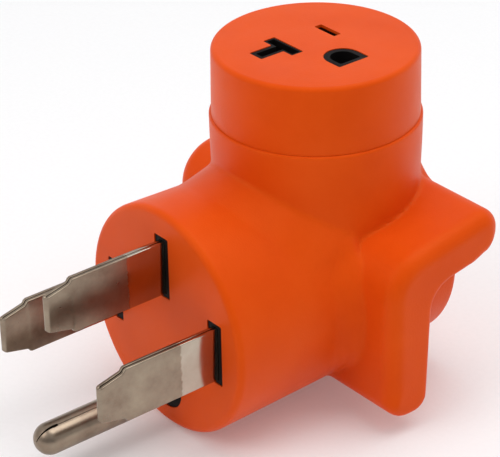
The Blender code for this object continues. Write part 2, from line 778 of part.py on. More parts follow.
def eased(first, leave, last, arrive, steps):
    """Points on the cubic from first to last that leaves and arrives along two directions."""
    points = []
    for step in range(steps + 1):
        t = step / steps
        square = t * t
        cube = square * t
        point = first * (2 * cube - 3 * square + 1) + leave * (cube - 2 * square + t)
        point += last * (3 * square - 2 * cube) + arrive * (cube - square)
        points.append(point)
    return points


def wire_route(start, end, reach_out, bend, heading, reach_up):
    """A route straight out of a blade along +Y, through a bend and straight up into a contact."""
    leave = Vector((0.0, reach_out, 0.0))
    arrive = Vector((0.0, 0.0, reach_up))
    through = Vector(heading)
    after_start = Vector(start) + Vector((0.0, WIRE_LEAD, 0.0))
    before_end = Vector(end) - Vector((0.0, 0.0, WIRE_LEAD))
    first_half = eased(after_start, leave, Vector(bend), through, WIRE_STEPS)
    second_half = eased(Vector(bend), through, before_end, arrive, WIRE_STEPS)
    return [Vector(start), *first_half, *second_half[1:], Vector(end)]


def wires():
    """Three insulated wires, each a copper core in its own insulation, from blade to contact."""
    feet = contact_feet()
    blades = {
        "neutral": BLADES["neutral_blade"],
        "hot": BLADES["line_y_blade"],
        "ground": GROUND_AT,
    }
    colours = {
        "neutral": ("white", (0.8, 0.8, 0.78)),
        "hot": ("black", (0.03, 0.03, 0.03)),
        "ground": ("green", (0.03, 0.3, 0.08)),
    }
    along_y = Vector((0.0, 1.0, 0.0))
    along_z = Vector((0.0, 0.0, 1.0))
    for name, (reach_out, bend, heading, reach_up) in WIRE_WAYS.items():
        x, z = blades[name]
        start = (x, BLADE_CUP_MOUTH + GAP, z)
        end = (*feet[name + "_contact"][2], CUP_TOP - CUP_LENGTH - GAP)
        route = wire_route(start, end, reach_out, bend, heading, reach_up)
        first = route[0]
        last = route[-1]
        strand = [first - along_y * CUP_ENGAGE, *route, last + along_z * CUP_ENGAGE]
        finish(tube(strand, COPPER_R, COPPER_ROUND), name + "_conductor", copper())
        hollow = [first - along_y * WIRE_END_CUT, *route, last + along_z * WIRE_END_CUT]
        sleeve = tube(route, WIRE_R, WIRE_ROUND)
        sleeve = cut(sleeve, tube(hollow, COPPER_R + GAP, WIRE_ROUND))
        finish(sleeve, name + "_wire", insulation(*colours[name]))


def main():
    for old in list(bpy.data.objects):
        bpy.data.objects.remove(old)
    over_mould()
    plug_core()
    plug_core_back()
    for name, at in BLADES.items():
        blade(name, at, name != "line_x_blade")
    ground_pin()
    receptacle_cap()
    receptacle_core()
    contact_carrier()
    contacts(leaves())
    wires()


main()
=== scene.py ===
"""Looks for the right-angle plug adapter: fine moulded shells, folded blades, rolled pin, studio.

Shapes are worked out in millimetres in the row frame and become metres in each mesh. The row
frame has the plug face at y = 0, the blades along -Y and the receptacle facing +Z.
"""
import json
import math

import bmesh
import bpy
import numpy as np
from mathutils import Matrix, Vector


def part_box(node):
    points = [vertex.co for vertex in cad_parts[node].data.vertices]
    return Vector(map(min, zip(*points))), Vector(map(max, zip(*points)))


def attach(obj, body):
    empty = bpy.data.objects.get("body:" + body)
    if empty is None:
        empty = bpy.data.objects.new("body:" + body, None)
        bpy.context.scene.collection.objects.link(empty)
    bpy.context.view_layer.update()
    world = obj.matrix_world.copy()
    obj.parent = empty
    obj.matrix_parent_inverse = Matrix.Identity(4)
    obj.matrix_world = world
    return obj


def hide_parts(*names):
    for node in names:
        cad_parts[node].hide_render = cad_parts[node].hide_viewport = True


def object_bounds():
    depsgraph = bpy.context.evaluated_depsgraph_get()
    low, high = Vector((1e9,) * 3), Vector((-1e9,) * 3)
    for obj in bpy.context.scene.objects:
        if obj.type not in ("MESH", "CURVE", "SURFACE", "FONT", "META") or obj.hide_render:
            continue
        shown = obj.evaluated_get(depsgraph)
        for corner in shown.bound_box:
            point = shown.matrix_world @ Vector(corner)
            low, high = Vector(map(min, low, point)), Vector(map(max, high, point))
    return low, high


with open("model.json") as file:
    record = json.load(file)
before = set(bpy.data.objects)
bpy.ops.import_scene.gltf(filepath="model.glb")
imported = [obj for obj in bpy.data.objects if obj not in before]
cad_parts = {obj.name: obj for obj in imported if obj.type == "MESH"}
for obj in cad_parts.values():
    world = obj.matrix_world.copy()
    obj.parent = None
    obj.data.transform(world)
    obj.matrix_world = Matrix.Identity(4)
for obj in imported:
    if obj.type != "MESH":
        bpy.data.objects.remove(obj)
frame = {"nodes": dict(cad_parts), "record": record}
cad_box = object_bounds()

MM = 0.001
BODY = "adapter"

# How far cutters and joined shapes run past a face, and the gap between hidden discs and walls
PAST = 1.0
GAP = 0.3

# Sides of round shapes
CAP_ROUND = 160
BORE_ROUND = 128
ROUND = 96
PIN_ROUND = 72
WINDOW_ROUND = 64
CUP_ROUND = 40


def corners_mm(node):
    """A CAD node's lowest and highest corners, in millimetres."""
    low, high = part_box(node)
    return [v / MM for v in low], [v / MM for v in high]


# Places read from the frame
MOULD_LOW, MOULD_HIGH = corners_mm("over_mould")
CAP_LOW, CAP_HIGH = corners_mm("receptacle_cap")
CORE_LOW, CORE_HIGH = corners_mm("plug_core")
SOCKET_LOW, SOCKET_HIGH = corners_mm("receptacle_core")
NECK_Y = (CAP_LOW[1] + CAP_HIGH[1]) / 2.0
CAP_BOTTOM = CAP_LOW[2]
FACE_Z = CAP_HIGH[2]
CAP_R = (CAP_HIGH[0] - CAP_LOW[0]) / 2.0
NECK_TOP = MOULD_HIGH[2]
GRIP_HALF_SPAN = MOULD_HIGH[0]
BODY_R_FRONT = -MOULD_LOW[2]

# Moulded body, beyond what its box gives
BODY_R_BACK = 25.0
BODY_LENGTH = 64.2
BODY_EDGE_R = 1.5
BODY_BORE_R = 22.6
FRONT_WALL = 3.0
BACK_WALL = 3.0
NECK_R = 23.6
NECK_FOOT_R = 23.15
NECK_BOTTOM = 6.0
NECK_LIP_R = 0.5
NECK_BORE_R = 20.6
NECK_BORE_BOTTOM = 9.0
CAP_EDGE_R = 1.15
CAP_FOOT_R = 0.12
CAP_SEAM = 0.03
CAP_TAPER = 0.2
CAP_TOP_WALL = 3.0
CAP_FACE_RINGS = (18.0, 14.0)

# Finger grip outline
GRIP_BOTTOM = -22.0
GRIP_FRONT_Y = 32.6
GRIP_BACK_Y = 64.6
GRIP_TOP_Z = 21.2
GRIP_WALL_THICK = 11.8
GRIP_ARM_THICK = 10.1
GRIP_OUTER_R = 10.0
GRIP_INNER_R = 6.5
GRIP_FOOT_R = 4.3
GRIP_TIP_R = 4.4
GRIP_LOW_TIP_R = 5.2
WALL_FOOT_R = 3.8
WALL_DRAFT = 1.2
GRIP_SLOPE = math.radians(10.0)
GRIP_STEPS = 10

# Radii of the grips' edges: the front, top and back, then the hook's inside and the foot
OUTER_EDGE_R = 3.7
HOOK_EDGE_R = 1.2
EDGE_CHANGE = 4.0

# Fillets between barrel, neck and grips, and the wider one behind the neck as (start, end) spans
BARREL_FILLET_R = 0.7
NECK_FILLET_R = 0.7
GUSSET_R = 1.2
GUSSET_Y = (52.0, 63.0)
GUSSET_Z = (10.0, 18.0)
WALL_EDGE_R = 0.3

# How the barrel rises towards the neck and the grips, and the spans over which that starts
NECK_FLARE = 2.3
NECK_FLARE_REACH = 8.0
NECK_FLARE_POWER = 1.3
NECK_FLARE_Z = (9.0, 17.0)
NECK_FLARE_AHEAD = (2.0, 9.0)
GRIP_FLARE = 3.4
GRIP_FLARE_REACH = 6.5
GRIP_FLARE_POWER = 2.0
GRIP_FLARE_Z = (-18.5, -8.0)
GRIP_FLARE_AHEAD = (-5.0, -1.0)
NECK_DRAFT_RUN = 22.0
LIP_CHANGE = 2.0

# Grid steps of the body's surface: everywhere, at the plug face's edge and at the neck's lip
GRID_STEP = 0.62
FACE_STEP = 0.4
LIP_STEP = 0.3

# Blades, pin and windows, as (x, z)
BLADES = {"neutral_blade": (0.0, 13.4), "line_x_blade": (17.8, 0.0), "line_y_blade": (-17.8, 0.0)}
GROUND_AT = (0.0, -17.0)
WINDOW_X = 4.7
WINDOW_Z = 14.9
WINDOW_CORNER_R = 0.35
WINDOW_ROUND_R = 5.2

# Black bosses in the windows, and the holes in them
BOSS_FIT = 0.05
BOSS_SUNK = 0.2
BOSS_CORNER_R = 0.3
BOSS_EDGE_R = 0.08
BLADE_SLOT = (1.96, 12.96)
BLADE_POCKET = (5.0, 8.6)
PIN_HOLE_R = 3.75

# Blades: places along Y, and the outline as (y, half width) from the nose to full width
BLADE_HALF_THICK = 0.9
SHEET_GAP = 0.13
BLADE_TIP_Y = -30.6
BLADE_OUTLINE = [
    (BLADE_TIP_Y, 3.95), (-30.3, 4.15), (-29.7, 4.3), (-24.7, 5.45),
    (-24.35, 5.6), (-24.0, 6.15), (-23.5, 6.4), (20.0, 6.4),
]
SHEET_OUTER_EDGE_R = 0.24
SHEET_INNER_EDGE_R = 0.1
SHOULDER_FRONT = 9.6
SHOULDER_BACK = 12.4
SHOULDER_HALF_X = 2.2
SHOULDER_HALF_Z = 4.0
TAIL_FRONT = 11.5
TAIL_BACK = 20.0
BARE_TAIL_BACK = 19.9
TAIL_HALF_Z = 3.0
CUP_MOUTH = 25.5
CUP_LENGTH = 6.0
CUP_DEPTH = 5.0
CUP_R = 2.3
CUP_BORE_R = 1.5
# The painted reflection of the lit floor on the blades starts here along Y, in metres, and runs to the
# plug face
REFLECTION_BAND_TO = -0.0096

# Round pin, and the seam where its rolled sheet meets
PIN_R = 3.6
PIN_TIP_Y = -35.0
FLANGE_R = 4.6
SEAM_TURN = math.radians(18.0)

# Receptacle pattern, as (x, y from the neck's axis)
HOT_AT = (-3.4, 6.35)
NEUTRAL_AT = (-3.4, -6.35)
GROUND_SLOT_AT = (9.0, 0.0)
HOT_SLOT = (6.7, 2.0)
T_BAR = (8.6, 2.0)
T_STEM_WIDTH = 2.1
T_STEM_END = -13.1
D_R = 2.8
D_FLAT = 2.5
D_CORNER_R = 0.4
HOT_CORNER_R = 0.2

# Black rims round the slots, and the orange skin left over the hot slot's rim
T_RIM = (0.62, 1.02)
T_RIM_CORNER_R = 0.3
T_SLOT_CORNER_R = 0.15
D_RIM = (1.42, 1.22)
HOT_RIM = 1.0
HOT_SKIN = 0.7
HOT_CORE_GROW = 0.15
RIM_FIT = 0.04
RIM_SUNK = 0.12
RIM_EDGE_R = 0.12

# Chambers under the slots, as low and high corners in x and y from the neck's axis
CHAMBERS = [((-8.6, 3.2), (1.8, 12.4)), ((-9.2, -15.4), (2.4, -1.7)), ((4.6, -4.8), (15.6, 4.8))]
CHAMBER_TOP = 47.0


# ---------------------------------------------------------------- materials

def new_material(name):
    """A material with an empty node tree but for its shader and output."""
    made = bpy.data.materials.new(name)
    made.use_nodes = True
    tree = made.node_tree
    return made, tree, tree.nodes["Principled BSDF"]


def add(tree, kind, **sockets):
    """A node of a kind with some of its inputs set by name."""
    node = tree.nodes.new(kind)
    for name, value in sockets.items():
        node.inputs[name.replace("_", " ")].default_value = value
    return node


def object_space(tree):
    """Coordinates in metres in the object's own space, which is the row frame."""
    return add(tree, "ShaderNodeTexCoord").outputs["Object"]


def noise(tree, vector, scale, detail=3.0, roughness=0.5):
    """A noise texture; scale is in features per metre."""
    node = add(tree, "ShaderNodeTexNoise", Scale=scale, Detail=detail, Roughness=roughness)
    tree.links.new(vector, node.inputs["Vector"])
    return node.outputs["Fac"]


def ramp(tree, factor, stops):
    """A colour ramp with (position, colour) stops."""
    node = tree.nodes.new("ShaderNodeValToRGB")
    stops = [(at, (*colour, 1.0)) for at, colour in stops]
    elements = node.color_ramp.elements
    while len(elements) < len(stops):
        elements.new(0.5)
    for element, (at, colour) in zip(elements, stops):
        element.position = at
        element.color = colour
    tree.links.new(factor, node.inputs["Fac"])
    return node.outputs["Color"]


def spread(tree, factor, low, high):
    """A factor of 0 to 1 moved to low to high."""
    node = tree.nodes.new("ShaderNodeMapRange")
    node.inputs["To Min"].default_value = low
    node.inputs["To Max"].default_value = high
    tree.links.new(factor, node.inputs["Value"])
    return node.outputs["Result"]


def bump(tree, height, strength, distance, normal=None):
    """A bump from a height, on top of another normal if given; distance is in metres."""
    node = add(tree, "ShaderNodeBump", Strength=strength, Distance=distance)
    tree.links.new(height, node.inputs["Height"])
    if normal is not None:
        tree.links.new(normal, node.inputs["Normal"])
    return node.outputs["Normal"]


def stretched(tree, vector, scale):
    """Coordinates scaled by a different amount along each axis."""
    node = tree.nodes.new("ShaderNodeVectorMath")
    node.operation = "MULTIPLY"
    node.inputs[1].default_value = scale
    tree.links.new(vector, node.inputs[0])
    return node.outputs["Vector"]


def moulded_plastic(name, dark, mid, light, roughness, grain, grain_depth):
    """Moulded plastic: cloudy colour, spark-eroded grain and roughness that varies a little."""
    made, tree, shader = new_material(name)
    place = object_space(tree)
    clouds = noise(tree, place, 45.0, 4.0, 0.55)
    colour = ramp(tree, clouds, [(0.25, dark), (0.5, mid), (0.78, light)])
    tree.links.new(colour, shader.inputs["Base Color"])
    patches = noise(tree, place, 160.0, 3.0)
    tree.links.new(spread(tree, patches, *roughness), shader.inputs["Roughness"])
    sparks = noise(tree, place, grain, 2.0, 0.6)
    flow = noise(tree, place, 70.0, 2.0)
    soft = bump(tree, flow, 0.25, 0.0004)
    tree.links.new(bump(tree, sparks, 0.6, grain_depth, soft), shader.inputs["Normal"])
    return made, tree, shader


def orange_plastic():
    made, _, shader = moulded_plastic(
        "orange_pvc", (0.71, 0.067, 0.003), (0.76, 0.078, 0.004), (0.8, 0.091, 0.007),
        (0.36, 0.5), 2600.0, 0.00009,
    )
    shader.inputs["IOR"].default_value = 1.42
    shader.inputs["Specular IOR Level"].default_value = 0.3
    shader.inputs["Specular Tint"].default_value = (1.0, 0.4, 0.12, 1.0)
    shader.inputs["Subsurface Weight"].default_value = 0.08
    shader.inputs["Subsurface Radius"].default_value = (0.0016, 0.0006, 0.0003)
    shader.inputs["Subsurface Scale"].default_value = 1.0
    return made


def black_plastic():
    made, _, shader = moulded_plastic(
        "black_nylon", (0.0035, 0.0028, 0.0028), (0.006, 0.0046, 0.0045), (0.01, 0.008, 0.0075),
        (0.45, 0.62), 3000.0, 0.00004,
    )
    shader.inputs["Specular IOR Level"].default_value = 0.1
    return made


def plated_metal(name, tarnish, plate, bright, roughness, grain_axis):
    """Sheet metal: rolled grain along an axis, tarnish clouds, patchy roughness and soft dents."""
    made, tree, shader = new_material(name)
    place = object_space(tree)
    clouds = noise(tree, place, 110.0, 5.0, 0.62)
    colour = ramp(tree, clouds, [(0.28, tarnish), (0.5, plate), (0.72, bright)])
    tree.links.new(colour, shader.inputs["Base Color"])
    shader.inputs["Metallic"].default_value = 1.0
    across = [1.0, 1.0, 1.0]
    across["XYZ".index(grain_axis)] = 0.04
    rolled = noise(tree, stretched(tree, place, across), 2600.0, 3.0)
    smudges = noise(tree, place, 260.0, 4.0)
    tree.links.new(spread(tree, smudges, *roughness), shader.inputs["Roughness"])
    dents = noise(tree, place, 130.0, 2.0)
    waves = bump(tree, dents, 0.35, 0.0001)
    tree.links.new(bump(tree, rolled, 0.3, 0.000012, waves), shader.inputs["Normal"])
    return made


def nickel():
    """Dull nickel plate with a painted reflection of the lit floor: brighter and less rough between the
    plug face and the band's end along Y.
    """
    made, tree, shader = new_material("nickel_plate")
    place = object_space(tree)
    shader.inputs["Metallic"].default_value = 1.0
    apart = tree.nodes.new("ShaderNodeSeparateXYZ")
    tree.links.new(place, apart.inputs["Vector"])
    # Painted reflection of the lit floor: a band of brighter, less rough plate at the blades' root end,
    # with a ragged edge
    streaks = noise(tree, stretched(tree, place, (1.0, 0.1, 1.0)), 900.0, 3.0)
    ragged = spread(tree, streaks, -0.0006, 0.0006)
    along = tree.nodes.new("ShaderNodeMath")
    along.operation = "ADD"
    tree.links.new(apart.outputs["Y"], along.inputs[0])
    tree.links.new(ragged, along.inputs[1])
    reflection_band = spread(tree, along.outputs["Value"], 0.0, 1.0)
    reflection_band.node.inputs["From Min"].default_value = REFLECTION_BAND_TO - 0.0002
    reflection_band.node.inputs["From Max"].default_value = REFLECTION_BAND_TO + 0.0002
    clouds = noise(tree, place, 120.0, 5.0, 0.62)
    tarnish = [(0.3, (0.22, 0.16, 0.115)), (0.5, (0.3, 0.235, 0.175)), (0.7, (0.37, 0.305, 0.225))]
    dull = ramp(tree, clouds, tarnish)
    # Colour of the painted reflection band
    bright = ramp(tree, clouds, [(0.3, (0.4, 0.33, 0.26)), (0.7, (0.52, 0.45, 0.37))])
    colour = tree.nodes.new("ShaderNodeMix")
    colour.data_type = "RGBA"
    tree.links.new(reflection_band, colour.inputs["Factor"])
    tree.links.new(dull, colour.inputs["A"])
    tree.links.new(bright, colour.inputs["B"])
    tree.links.new(colour.outputs["Result"], shader.inputs["Base Color"])
    smudges = noise(tree, place, 300.0, 4.0)
    rough = tree.nodes.new("ShaderNodeMix")
    rough.data_type = "FLOAT"
    tree.links.new(reflection_band, rough.inputs["Factor"])
    tree.links.new(spread(tree, smudges, 0.22, 0.4), rough.inputs["A"])
    tree.links.new(spread(tree, smudges, 0.1, 0.2), rough.inputs["B"])
    tree.links.new(rough.outputs["Result"], shader.inputs["Roughness"])
    rolled = noise(tree, stretched(tree, place, (1.0, 0.05, 1.0)), 2600.0, 3.0)
    dents = noise(tree, place, 150.0, 2.0)
    pits = noise(tree, place, 1500.0, 2.0, 0.7)
    soft = bump(tree, dents, 0.3, 0.00008)
    fine = bump(tree, rolled, 0.3, 0.00001, soft)
    tree.links.new(bump(tree, pits, 0.25, 0.00002, fine), shader.inputs["Normal"])
    return made


def brass():
    return plated_metal(
        "brass_sheet", (0.55, 0.36, 0.14), (0.76, 0.55, 0.26), (0.82, 0.64, 0.34), (0.22, 0.4), "Z"
    )


def copper():
    return plated_metal(
        "copper_wire", (0.5, 0.2, 0.1), (0.78, 0.36, 0.2), (0.85, 0.45, 0.28), (0.2, 0.36), "Y"
    )


def rivet_steel():
    return plated_metal(
        "rivet_steel", (0.4, 0.39, 0.37), (0.56, 0.56, 0.55), (0.66, 0.66, 0.65), (0.2, 0.35), "Z"
    )


def insulation(name, dark, mid, light):
    name = "insulation_" + name
    made, _, _ = moulded_plastic(name, dark, mid, light, (0.3, 0.42), 1800.0, 0.00003)
    return made


def all_materials():
    """Every material by the name of its slot in the record."""
    return {
        "orange_pvc": orange_plastic(),
        "black_nylon": black_plastic(),
        "nickel_plate": nickel(),
        "brass": brass(),
        "copper": copper(),
        "rivet_steel": rivet_steel(),
        "insulation_black": insulation(
            "black", (0.012, 0.012, 0.012), (0.02, 0.02, 0.02), (0.03, 0.03, 0.03)
        ),
        "insulation_white": insulation(
            "white", (0.68, 0.67, 0.64), (0.76, 0.75, 0.73), (0.8, 0.8, 0.78)
        ),
        "insulation_green": insulation(
            "green", (0.015, 0.2, 0.05), (0.02, 0.27, 0.07), (0.03, 0.32, 0.09)
        ),
    }


# ---------------------------------------------------------------- mesh building

def shape_from(work):
    """Turn a bmesh into an object, its faces pointing out."""
    bmesh.ops.recalc_face_normals(work, faces=work.faces)
    mesh = bpy.data.meshes.new("shape")
    work.to_mesh(mesh)
    work.free()
    shape = bpy.data.objects.new("shape", mesh)
    bpy.context.scene.collection.objects.link(shape)
    return shape


def place_on(axis, across_a, across_b, along):
    """A point from two coordinates across an axis and one along it, in X, Y, Z order."""
    if axis == "X":
        return (along, across_a, across_b)
    if axis == "Y":
        return (across_a, along, across_b)
    return (across_a, across_b, along)


def prism(outline, axis, low, high):
    """An outline of points across an axis, pushed along that axis from low to high."""
    work = bmesh.new()
    ends = []
    for along in (low, high):
        ends.append([work.verts.new(place_on(axis, a, b, along)) for a, b in outline])
    work.faces.new(ends[0])
    work.faces.new(reversed(ends[1]))
    count = len(outline)
    for i in range(count):
        j = (i + 1) % count
        work.faces.new((ends[0][i], ends[1][i], ends[1][j], ends[0][j]))
    return shape_from(work)


def turned(profile, axis, centre, segments=ROUND):
    """A profile of (radius, along) points turned about an axis; it starts and ends at radius 0."""
    work = bmesh.new()
    rings = []
    for radius, along in profile:
        if radius == 0.0:
            rings.append([work.verts.new(place_on(axis, centre[0], centre[1], along))])
            continue
        ring = []
        for step in range(segments):
            turn = 2.0 * math.pi * step / segments
            a = centre[0] + radius * math.cos(turn)
            b = centre[1] + radius * math.sin(turn)
            ring.append(work.verts.new(place_on(axis, a, b, along)))
        rings.append(ring)
    for lower, upper in zip(rings, rings[1:]):
        for step in range(segments):
            after = (step + 1) % segments
            if len(lower) == 1:
                work.faces.new((lower[0], upper[step], upper[after]))
            elif len(upper) == 1:
                work.faces.new((lower[step], upper[0], lower[after]))
            else:
                work.faces.new((lower[step], upper[step], upper[after], lower[after]))
    return shape_from(work)


def rod(axis, centre, radius, low, high, segments=ROUND):
    """A plain round rod along an axis."""
    return turned([(0.0, low), (radius, low), (radius, high), (0.0, high)], axis, centre, segments)


def arc(centre, radius, start, end, steps):
    """Points on an arc, from one angle in degrees to another, both ends included."""
    points = []
    for step in range(steps + 1):
        turn = math.radians(start + (end - start) * step / steps)
        points.append((centre[0] + radius * math.cos(turn), centre[1] + radius * math.sin(turn)))
    return points


def rounded_corner(before, corner, after, radius, steps):
    """Points that round off the corner between two straight edges."""
    back = (Vector(before) - Vector(corner)).normalized()
    ahead = (Vector(after) - Vector(corner)).normalized()
    half = back.angle(ahead) / 2.0
    centre = Vector(corner) + (back + ahead).normalized() * (radius / math.sin(half))
    start = Vector(corner) + back * (radius / math.tan(half)) - centre
    end = Vector(corner) + ahead * (radius / math.tan(half)) - centre
    sweep = start.angle_signed(end)
    points = []
    for step in range(steps + 1):
        points.append(tuple(centre + Matrix.Rotation(-sweep * step / steps, 2) @ start))
    return points


def rounded_outline(corners, steps):
    """A closed outline from (corner, radius) pairs, every corner rounded."""
    outline = []
    for i, (corner, radius) in enumerate(corners):
        before = corners[i - 1][0]
        after = corners[(i + 1) % len(corners)][0]
        outline.extend(rounded_corner(before, corner, after, radius, steps))
    return outline


def combine(target, operation, others):
    """Join or cut a shape with others by exact Booleans, apply them and remove the others."""
    for other in others:
        step = target.modifiers.new(operation.lower(), "BOOLEAN")
        step.operation = operation
        step.solver = "EXACT"
        step.object = other
        bpy.context.view_layer.update()
        evaluated = target.evaluated_get(bpy.context.evaluated_depsgraph_get())
        result = bpy.data.meshes.new_from_object(evaluated)
        target.modifiers.clear()
        target.data = result
        bpy.data.objects.remove(other)
        weld(target)
    return target


def weld(shape, distance=0.002):
    """Merge the corners that a Boolean leaves closer together than this."""
    work = bmesh.new()
    work.from_mesh(shape.data)
    bmesh.ops.remove_doubles(work, verts=work.verts, dist=distance)
    bmesh.ops.dissolve_degenerate(work, edges=work.edges, dist=distance)
    work.to_mesh(shape.data)
    work.free()


def bevel_sharp(shape, width, segments=2, least_angle=35.0):
    """Round every edge sharper than an angle, in the mesh itself."""
    work = bmesh.new()
    work.from_mesh(shape.data)
    limit = math.radians(least_angle)
    edges = []
    for edge in work.edges:
        if edge.is_manifold and edge.calc_face_angle() > limit:
            edges.append(edge)
    bmesh.ops.bevel(
        work, geom=edges, offset=width, segments=segments, profile=0.5,
        affect="EDGES", clamp_overlap=True,
    )
    work.to_mesh(shape.data)
    work.free()
    return shape


def finish_piece(shape, name, material, slot, *nodes):
    """Bring a piece to metres, shade it, give it its material and let it stand for CAD nodes."""
    shape.data.transform(Matrix.Scale(MM, 4))
    shape.name = name
    shape.data.name = name
    shape.data.materials.clear()
    shape.data.materials.append(material)
    shape.data.shade_smooth()
    shape.data.set_sharp_from_angle(angle=math.radians(32.0))
    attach(shape, BODY)
    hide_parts(*nodes)
    return shape


# ---------------------------------------------------------------- moulded body as a field

def blend_round(a, b, radius):
    """The nearer of two distances, with a round fillet of a radius where they meet."""
    return np.maximum(radius, np.minimum(a, b)) - np.hypot(
        np.maximum(radius - a, 0.0), np.maximum(radius - b, 0.0)
    )


def carve_round(a, b, radius):
    """The farther of two distances, with a round edge of a radius where they meet."""
    return -blend_round(-a, -b, radius)


def slab_edge(across, along, radius):
    """Distance to where two limits meet, with the edge between them rounded."""
    a = across + radius
    b = along + radius
    inside = np.minimum(np.maximum(a, b), 0.0)
    return inside + np.hypot(np.maximum(a, 0.0), np.maximum(b, 0.0)) - radius


def smooth_step(value, low, high):
    """0 below low, 1 above high, smooth between."""
    t = np.clip((value - low) / (high - low), 0.0, 1.0)
    return t * t * (3.0 - 2.0 * t)


def grip_corners():
    """The hooked outline's corners in Y and Z, each with its radius."""
    rise = math.tan(GRIP_SLOPE)
    wall_back = GRIP_FRONT_Y + GRIP_WALL_THICK
    front_top = GRIP_TOP_Z - (GRIP_BACK_Y - GRIP_FRONT_Y) * rise
    back_low = GRIP_TOP_Z - GRIP_ARM_THICK / math.cos(GRIP_SLOPE)
    inner = back_low - (GRIP_BACK_Y - wall_back) * rise
    return [
        ((GRIP_FRONT_Y, GRIP_BOTTOM), GRIP_FOOT_R),
        ((GRIP_FRONT_Y, front_top), GRIP_OUTER_R),
        ((GRIP_BACK_Y, GRIP_TOP_Z), GRIP_TIP_R),
        ((GRIP_BACK_Y, back_low), GRIP_LOW_TIP_R),
        ((wall_back, inner), GRIP_INNER_R),
        ((wall_back - WALL_DRAFT, GRIP_BOTTOM), WALL_FOOT_R),
    ]


def path_distance(points, y, z):
    """Distance from (y, z) to an open path of points."""
    best = None
    for (y0, z0), (y1, z1) in zip(points, points[1:]):
        dy = y1 - y0
        dz = z1 - z0
        t = np.clip(((y - y0) * dy + (z - z0) * dz) / (dy * dy + dz * dz), 0.0, 1.0)
        far = np.hypot(y - y0 - t * dy, z - z0 - t * dz)
        best = far if best is None else np.minimum(best, far)
    return best


def inside_outline(points, y, z):
    """True where (y, z) is inside a closed outline."""
    inside = np.zeros(np.broadcast(y, z).shape, bool)
    for i, (y0, z0) in enumerate(points):
        y1, z1 = points[(i + 1) % len(points)]
        spans = (z0 > z) != (z1 > z)
        if z1 != z0:
            inside ^= spans & (y < (y1 - y0) * (z - z0) / (z1 - z0) + y0)
    return inside


GRIP_OUTLINE = rounded_outline(grip_corners(), GRIP_STEPS)


def grip_field(x, y, z):
    """Distance to the grips: one bar through the body, less rounded along its hook and its foot."""
    corner = GRIP_STEPS + 1
    tip = 4 * corner - 1
    foot = corner // 2
    hook = GRIP_OUTLINE[tip:] + GRIP_OUTLINE[:foot + 1]
    outer = GRIP_OUTLINE[foot:tip + 1]
    to_outer = path_distance(outer, y, z)
    to_hook = path_distance(hook, y, z)
    around = np.minimum(to_outer, to_hook)
    outline = np.where(inside_outline(GRIP_OUTLINE, y, z), -around, around)
    share = smooth_step(to_hook - to_outer, -EDGE_CHANGE, EDGE_CHANGE)
    edge = HOOK_EDGE_R + (OUTER_EDGE_R - HOOK_EDGE_R) * share
    return slab_edge(outline, np.abs(x) - GRIP_HALF_SPAN, edge)


def flare(distance, reach, height, power):
    """How far the barrel rises towards a neighbour: smooth from the barrel, crisp where they meet."""
    return height * np.clip(1.0 - distance / reach, 0.0, 1.0) ** power


def body_field(x, y, z):
    """Distance to the moulded body: negative inside the plastic."""
    radial = np.hypot(x, y - NECK_Y)
    narrowing = (NECK_R - NECK_FOOT_R) * smooth_step(NECK_TOP - z, 0.0, NECK_DRAFT_RUN)
    around_z = radial - (NECK_R - narrowing)
    grip = grip_field(x, y, z)
    taper = (BODY_R_FRONT - BODY_R_BACK) / BODY_LENGTH
    around_y = np.hypot(x, z) - (BODY_R_FRONT - taper * y)
    to_neck = flare(around_z, NECK_FLARE_REACH, NECK_FLARE, NECK_FLARE_POWER)
    to_grip = flare(grip, GRIP_FLARE_REACH, GRIP_FLARE, GRIP_FLARE_POWER)
    to_neck = to_neck * smooth_step(z, *NECK_FLARE_Z) * smooth_step(NECK_Y - y, *NECK_FLARE_AHEAD)
    to_grip = to_grip * smooth_step(z, *GRIP_FLARE_Z) * smooth_step(GRIP_FRONT_Y - y, *GRIP_FLARE_AHEAD)
    around_y = around_y - np.hypot(to_neck, to_grip)
    middle = BODY_LENGTH / 2.0
    barrel = slab_edge(around_y, np.abs(y - middle) - middle, BODY_EDGE_R)
    neck_middle = (NECK_TOP + NECK_BOTTOM) / 2.0
    neck_half = (NECK_TOP - NECK_BOTTOM) / 2.0
    lower_half = smooth_step(neck_middle - z, -LIP_CHANGE, LIP_CHANGE)
    lip = NECK_LIP_R + lower_half * (BODY_EDGE_R - NECK_LIP_R)
    neck = slab_edge(around_z, np.abs(z - neck_middle) - neck_half, lip)
    outside = blend_round(barrel, grip, BARREL_FILLET_R)
    gusset = NECK_FILLET_R + GUSSET_R * smooth_step(y, *GUSSET_Y) * smooth_step(z, *GUSSET_Z)
    outside = blend_round(outside, neck, gusset)
    back = BODY_LENGTH - BACK_WALL
    body_bore = np.maximum(np.hypot(x, z) - BODY_BORE_R, np.maximum(FRONT_WALL - y, y - back))
    neck_bore = np.maximum(radial - NECK_BORE_R, NECK_BORE_BOTTOM - z)
    hollow = np.minimum(body_bore, neck_bore)
    return carve_round(outside, -hollow, WALL_EDGE_R)


def grid_lines(low, high, coarse, fine_span=(0.0, 0.0, 0.0)):
    """Grid coordinates with a coarse step, and a fine one inside a (start, end, step) span."""
    start, end, fine = fine_span
    lines = [low]
    while lines[-1] < high:
        step = fine if start <= lines[-1] < end else coarse
        lines.append(lines[-1] + step)
    return np.array(lines)


